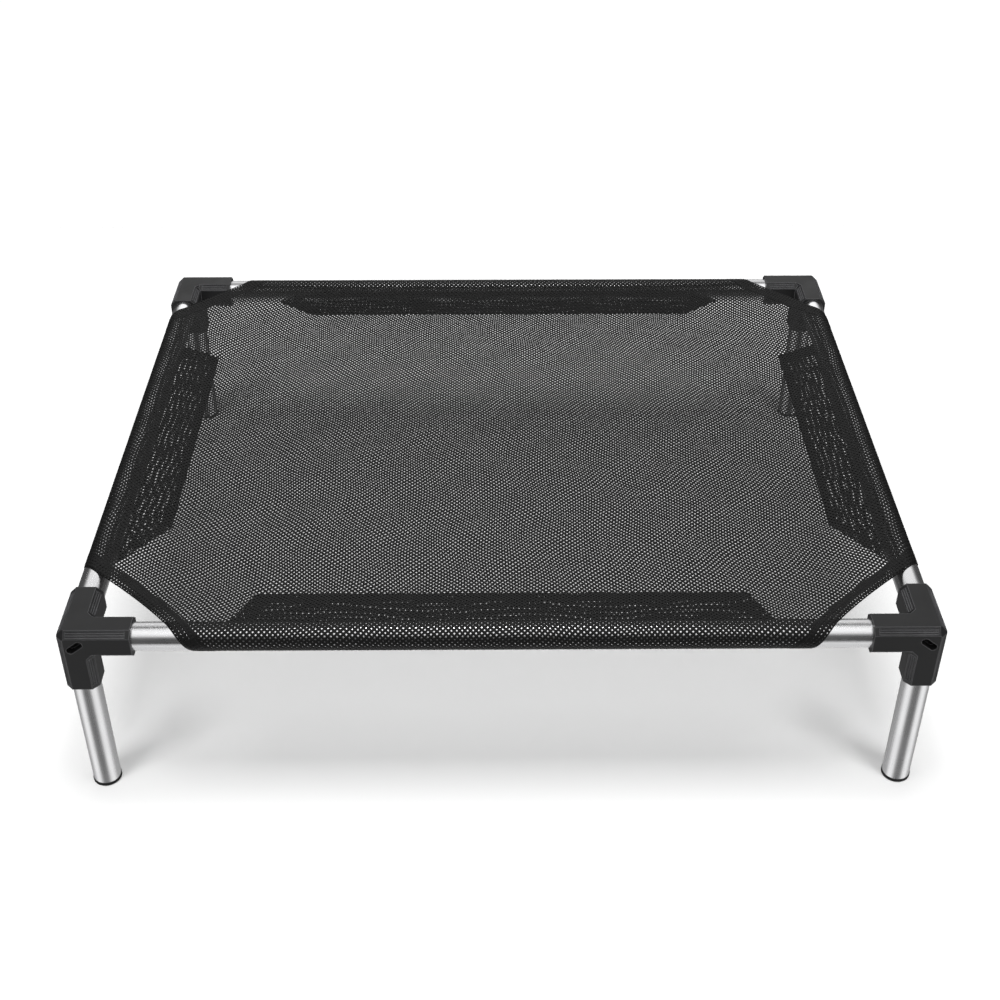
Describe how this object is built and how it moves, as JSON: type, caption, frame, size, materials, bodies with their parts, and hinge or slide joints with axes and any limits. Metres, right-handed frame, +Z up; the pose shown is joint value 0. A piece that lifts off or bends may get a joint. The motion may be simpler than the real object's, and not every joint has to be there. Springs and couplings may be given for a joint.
{
  "type": "raised dog bed",
  "caption": "Raised dog bed: a see-through mesh cover stretched by sewn sleeves on a rectangular tube frame, with moulded corner connectors, short tube legs and rubber foot caps.",
  "frame": {"origin": "centre of the bed at floor level, under the middle of the frame", "axes": "+X to the right along the long rails, +Y to the back, +Z up"},
  "size_m": [0.917, 0.775, 0.226],
  "materials": {
    "moulded_plastic": "matt moulded black",
    "tube_aluminium": "satin",
    "foot_rubber": "matt",
    "mesh_cloth": "coated open mesh",
    "hem_cloth": "folded and stitched"
  },
  "bodies": {
    "root": {"connector_front_left": "moulded_plastic", "connector_front_right": "moulded_plastic", "connector_rear_left": "moulded_plastic", "connector_rear_right": "moulded_plastic", "rail_front": "tube_aluminium", "rail_rear": "tube_aluminium", "rail_left": "tube_aluminium", "rail_right": "tube_aluminium", "leg_front_left": "tube_aluminium", "leg_front_right": "tube_aluminium", "leg_rear_left": "tube_aluminium", "leg_rear_right": "tube_aluminium", "foot_front_left": "foot_rubber", "foot_front_right": "foot_rubber", "foot_rear_left": "foot_rubber", "foot_rear_right": "foot_rubber", "mesh_deck": "mesh_cloth", "sleeve_front": "mesh_cloth", "sleeve_rear": "mesh_cloth", "sleeve_left": "mesh_cloth", "sleeve_right": "mesh_cloth", "hem_front_left": "hem_cloth", "hem_front_right": "hem_cloth", "hem_rear_left": "hem_cloth", "hem_rear_right": "hem_cloth"}
  },
  "joints": []
}
